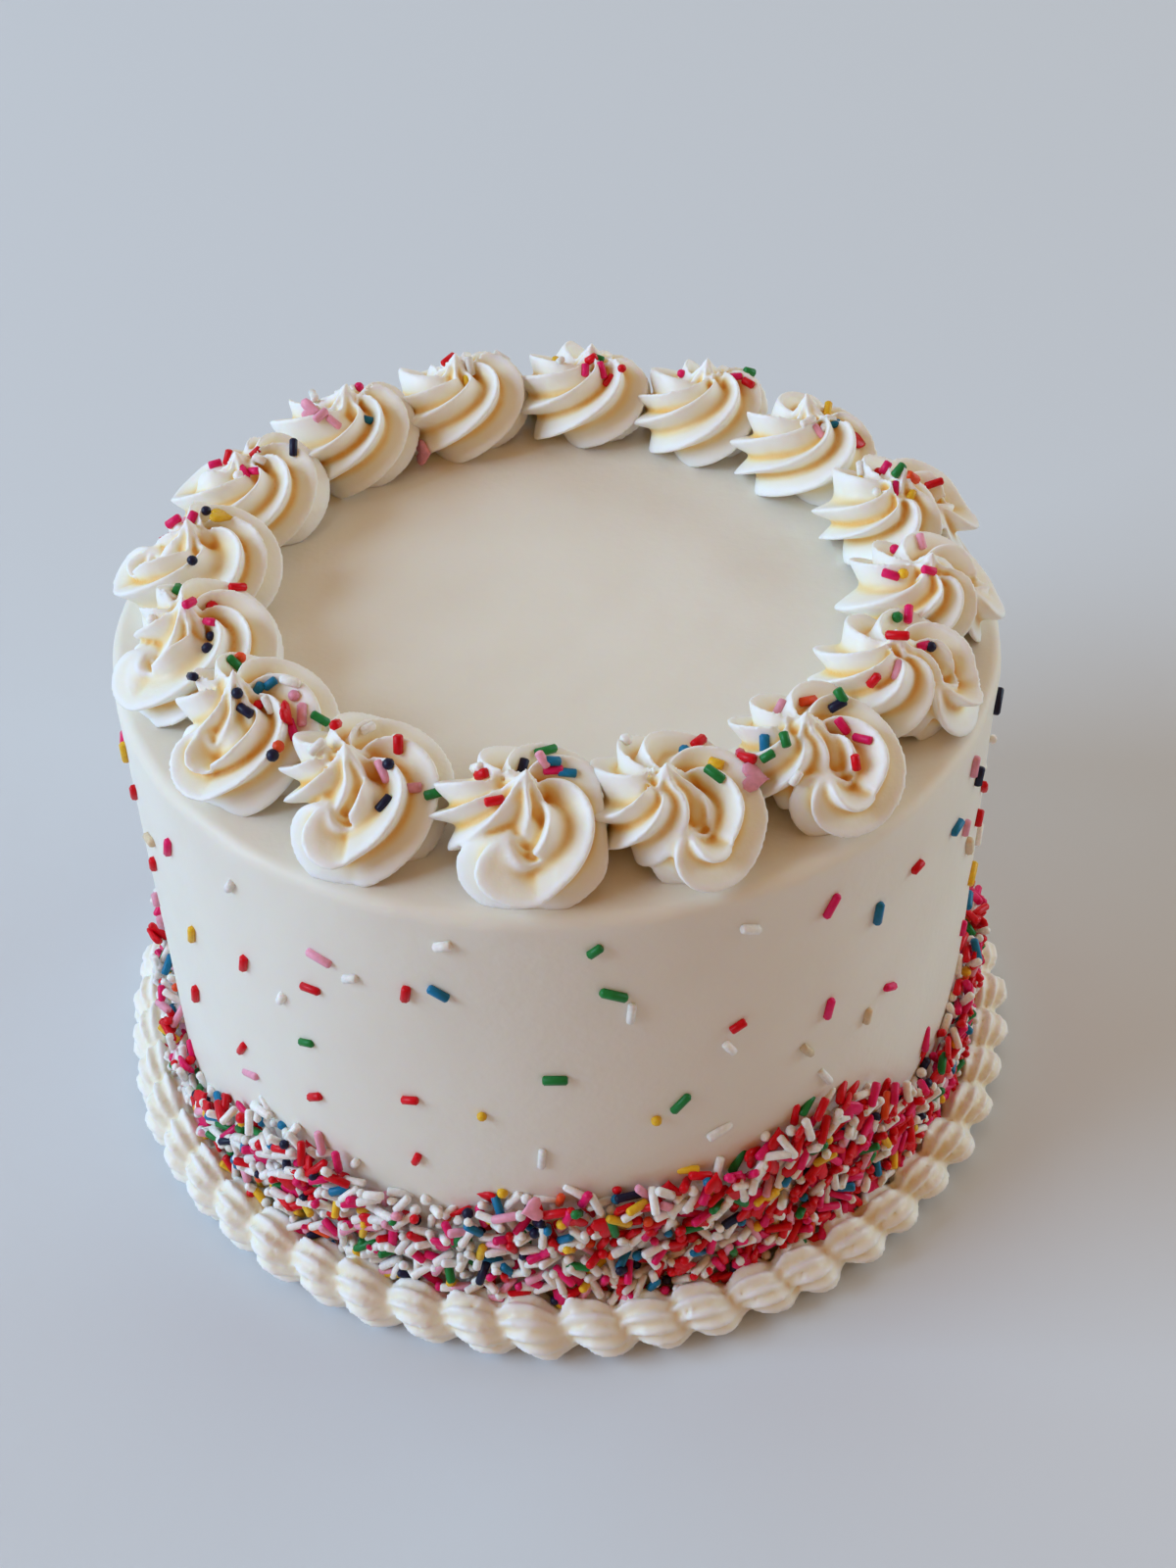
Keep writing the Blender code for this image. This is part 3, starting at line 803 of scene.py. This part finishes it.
# on the rosettes, where the photo shows them: pixel, lean on the picture in degrees, kind, tint
seenOnTop = (
    (261, 705, 70, "rod", "teal"), (276, 697, 40, "rod", "teal"), (243, 707, 0, "pearl", "navy"),
    (251, 725, -30, "rod", "navy"), (263, 719, 0, "pearl", "red"), (275, 718, 100, "rod", "white"),
    (290, 729, 0, "heart", "red"), (309, 730, 100, "rod", "pink"), (297, 745, -80, "rod", "magenta"),
    (301, 710, 0, "pearl", "pink"), (326, 734, -20, "rod", "green"), (337, 740, 0, "pearl", "white"),
    (282, 761, 0, "pearl", "orange"), (276, 770, 0, "pearl", "navy"), (407, 759, 85, "rod", "red"),
    (398, 780, 0, "pearl", "navy"), (392, 786, -70, "rod", "pink"), (422, 805, -5, "rod", "pink"),
    (444, 810, 15, "rod", "green"), (393, 821, 60, "rod", "navy"), (457, 762, 70, "rod", "pink"),
    (532, 783, 70, "rod", "navy"), (556, 766, 15, "rod", "green"), (563, 776, -10, "rod", "teal"),
    (553, 775, -50, "rod", "pink"), (564, 785, 0, "rod", "magenta"), (579, 788, -5, "rod", "teal"),
    (493, 790, 10, "rod", "red"), (504, 817, 10, "rod", "red"), (608, 757, -5, "rod", "teal"),
    (627, 757, 0, "pearl", "pink"), (637, 756, 0, "pearl", "white"), (600, 774, 0, "pearl", "navy"),
    (712, 758, 45, "rod", "red"), (730, 789, -30, "rod", "green"), (757, 772, -70, "rod", "magenta"),
    (909, 586, -15, "rod", "magenta"), (921, 585, 0, "pearl", "yellow"), (947, 583, 5, "rod", "magenta"),
    (926, 627, 75, "rod", "magenta"), (914, 630, 0, "pearl", "green"), (916, 648, 0, "rod", "red"),
    (941, 659, 10, "rod", "magenta"), (950, 659, 0, "pearl", "navy"), (891, 693, 75, "rod", "red"),
    (917, 684, 70, "rod", "pink"), (854, 719, 30, "rod", "navy"), (860, 740, -60, "rod", "magenta"),
    (881, 754, -10, "rod", "magenta"), (872, 778, -65, "rod", "red"), (781, 759, 80, "rod", "teal"),
    (800, 755, -80, "rod", "green"), (783, 771, 35, "rod", "green"), (763, 774, -25, "rod", "red"),
    (768, 794, 0, "heart", "pink"), (811, 793, 80, "rod", "white"), (220, 475, 30, "rod", "magenta"),
    (224, 528, 0, "heart", "yellow"), (178, 533, 20, "rod", "magenta"), (196, 531, 60, "rod", "magenta"),
    (209, 521, 0, "pearl", "navy"), (196, 573, 0, "pearl", "navy"), (180, 603, 60, "rod", "green"),
    (192, 616, 30, "rod", "magenta"), (216, 618, 0, "pearl", "red"), (215, 634, 10, "rod", "magenta"),
    (217, 650, 0, "pearl", "navy"), (213, 663, 0, "pearl", "navy"), (242, 600, 20, "rod", "red"),
    (244, 672, 0, "pearl", "orange"), (240, 679, -20, "rod", "green"), (198, 690, 10, "rod", "navy"),
    (453, 350, 20, "rod", "red"), (467, 358, -40, "rod", "magenta"), (458, 368, 70, "rod", "red"),
    (475, 352, 0, "pearl", "navy"), (604, 367, 20, "rod", "red"), (613, 378, -60, "rod", "magenta"),
    (622, 389, 50, "rod", "red"), (596, 378, 80, "rod", "magenta"), (634, 377, 10, "pearl", "red"),
    (749, 384, 10, "rod", "magenta"), (764, 391, -30, "rod", "red"), (783, 401, 40, "rod", "pink"),
    (843, 420, 70, "rod", "yellow"), (851, 434, 20, "rod", "teal"), (874, 451, 0, "heart", "red"),
    (835, 442, -40, "rod", "pink"), (918, 481, 50, "rod", "green"), (930, 487, -20, "rod", "orange"),
    (953, 493, 20, "rod", "red"), (929, 506, 60, "rod", "yellow"), (905, 478, 10, "rod", "magenta"),
    (327, 424, 40, "rod", "pink"), (340, 431, -30, "rod", "pink"), (376, 430, 20, "rod", "teal"),
    (316, 418, 0, "heart", "pink"), (433, 462, 0, "heart", "pink"), (430, 478, 20, "heart", "red"),
    (441, 471, 60, "rod", "magenta"), (234, 467, 30, "rod", "red"), (250, 482, -50, "rod", "magenta"),
    (262, 462, 10, "rod", "red"),
)


def surfaceOf(pieces):
    # the pieces' triangles together, to cast rays at
    verts, faces, offset = [], [], 0
    for piece in pieces:
        points = readPoints(piece.data)
        piece.data.calc_loop_triangles()
        corners = np.empty(len(piece.data.loop_triangles) * 3, int)
        piece.data.loop_triangles.foreach_get("vertices", corners)
        verts.append(points)
        faces.append(corners.reshape(-1, 3) + offset)
        offset += len(points)
    return BVHTree.FromPolygons(np.concatenate(verts).tolist(), np.concatenate(faces).tolist())


def dropOnTop():
    rng = np.random.default_rng(13)
    piped = surfaceOf(rosettePieces)
    for px, py, lean, kind, tint in seenOnTop:
        eye, ahead, right, up = sightLine(px, py)
        hit, normal, _, _ = piped.ray_cast(eye, ahead)
        if hit is None:
            continue
        turn = math.radians(lean)
        along = math.cos(turn) * right + math.sin(turn) * up
        along = along - along.dot(normal) * normal
        thick = rng.uniform(*sugar["pearlRadius" if kind == "pearl" else "rodRadius"])
        length = rng.uniform(*sugar["heartWidth" if kind == "heart" else "topLength"])
        sunk = 0.0004 if kind == "heart" else 0.35 * thick
        place = np.array(hit + sunk * normal)
        lay(kind, place, np.array(along), np.array(normal), length, thick, shade(rng, tint))
    # a few more near each peak, dropped from above, where the photo doesn't reach
    for k in range(sugar["morePerRosette"] * rosettes["count"]):
        bearing = rosettes["firstBearing"] + (k % rosettes["count"]) * 2 * np.pi / rosettes["count"]
        spread = sugar["moreSpread"] * math.sqrt(k * goldenShare % 1)
        turn = k * goldenAngle
        if math.cos(bearing) > -0.17 and math.sin(turn) < 0.2:
            continue
        x = rosettes["ringRadius"] * math.sin(bearing) + spread * math.cos(turn)
        y = -rosettes["ringRadius"] * math.cos(bearing) + spread * math.sin(turn)
        hit, normal, _, _ = piped.ray_cast(Vector((x, y, 0.2)), Vector((0, 0, -1)))
        if hit is None or normal.z < 0.15:
            continue
        kind = rng.choice(["rod", "rod", "rod", "pearl"])
        along = Vector(rng.normal(0, 1, 3))
        along = along - along.dot(normal) * normal
        thick = rng.uniform(*sugar[kind + "Radius"])
        length = rng.uniform(*sugar["topLength"])
        place = np.array(hit + 0.35 * thick * normal)
        lay(kind, place, np.array(along), np.array(normal), length, thick, anyTint(rng, "rod"))


def joinSprinkles(kind, name):
    # every piece of one kind in one mesh: its shape turned and moved once for each, as one array
    shape, quads, tris = shapes[kind]
    places = np.array([place for place, _, _ in laid[kind]])
    axes = np.array([turned for _, turned, _ in laid[kind]])
    colours = np.array([tint for _, _, tint in laid[kind]])
    verts = np.einsum("nij,vj->nvi", axes, shape) + places[:, None, :]
    shift = np.arange(len(places))[:, None, None] * len(shape)
    piece = putMesh(name, verts.reshape(-1, 3), (quads + shift).reshape(-1, 4), (tris + shift).reshape(-1, 3))
    tint = piece.data.attributes.new("tint", "FLOAT_COLOR", "POINT")
    rgba = np.concatenate([np.repeat(colours, len(shape), 0), np.ones((len(verts) * len(shape), 1))], 1)
    tint.data.foreach_set("color", rgba.astype(np.float32).ravel())
    print(" ", name, len(places), "pieces,", len(piece.data.polygons), "faces")
    return finishPiece(piece, looks["sugar"], "buttercream")


pressBand()
pressSingles()
dropOnTop()
joinSprinkles("rod", "sugarRods")
joinSprinkles("pearl", "sugarPearls")
joinSprinkles("heart", "sugarHearts")
print("sprinkles laid")


def paleFloor():
    reach = 2.6
    corners = [(-reach, -reach, 0), (reach, -reach, 0), (reach, reach, 0), (-reach, reach, 0)]
    piece = putMesh("paleFloor", corners, [(0, 1, 2, 3)])
    material = bpy.data.materials.new("paleFloor")
    tree, shader = nodesOf(material)
    shader.inputs["Base Color"].default_value = (0.72, 0.765, 0.825, 1)
    shader.inputs["Roughness"].default_value = 0.75
    shader.inputs["Specular IOR Level"].default_value = 0.15
    piece.data.materials.append(material)


# cool daylight from windows at the left and right, in a room of warm reflected light
lamps = dict(
    window=dict(place=(-3.2, -0.75, 1.9), size=2.3, power=126, colour=(0.495, 0.745, 1.0)),
    leftBack=dict(place=(-2.8, 1.9, 1.6), size=2.3, power=26, colour=(0.2, 0.68, 1.0)),
    side=dict(place=(3.2, 0.9, 1.0), size=2.3, power=58, colour=(0.54, 0.84, 1.0)),
    overhead=dict(place=(0.0, 0.6, 3.6), size=2.3, power=9, colour=(0.62, 0.92, 1.0)),
    behind=dict(place=(0.3, 3.4, 1.8), size=2.3, power=18, colour=(0.6, 0.84, 1.0)),
)
lampsAim = (0, 0, 0.07)
roomLight = dict(strength=0.345, colour=(1.0, 0.45, 0.06))
seenBackdrop = dict(strength=0.5, colour=(0.84, 0.92, 1.0))


def makeLamps():
    for name, lamp in lamps.items():
        data = bpy.data.lights.new(name, "AREA")
        data.size = lamp["size"]
        data.energy = lamp["power"]
        data.color = lamp["colour"]
        light = bpy.data.objects.new(name, data)
        bpy.context.scene.collection.objects.link(light)
        light.location = lamp["place"]
        aim = Vector(lampsAim) - Vector(lamp["place"])
        light.rotation_euler = aim.to_track_quat("-Z", "Y").to_euler()
    # the room's light is warm, but past the floor's edge a pale backdrop is seen
    world = bpy.data.worlds.new("room")
    world.use_nodes = True
    tree = world.node_tree
    light = tree.nodes["Background"]
    backdrop = tree.nodes.new("ShaderNodeBackground")
    for node, source in ((light, roomLight), (backdrop, seenBackdrop)):
        node.inputs["Color"].default_value = (*source["colour"], 1)
        node.inputs["Strength"].default_value = source["strength"]
    seen = tree.nodes.new("ShaderNodeLightPath")
    mix = tree.nodes.new("ShaderNodeMixShader")
    tree.links.new(seen.outputs["Is Camera Ray"], mix.inputs["Fac"])
    tree.links.new(light.outputs["Background"], mix.inputs[1])
    tree.links.new(backdrop.outputs["Background"], mix.inputs[2])
    tree.links.new(mix.outputs["Shader"], tree.nodes["World Output"].inputs["Surface"])
    bpy.context.scene.world = world
    bpy.context.scene.view_settings.view_transform = "Standard"


paleFloor()
makeLamps()
print("floor and light set")
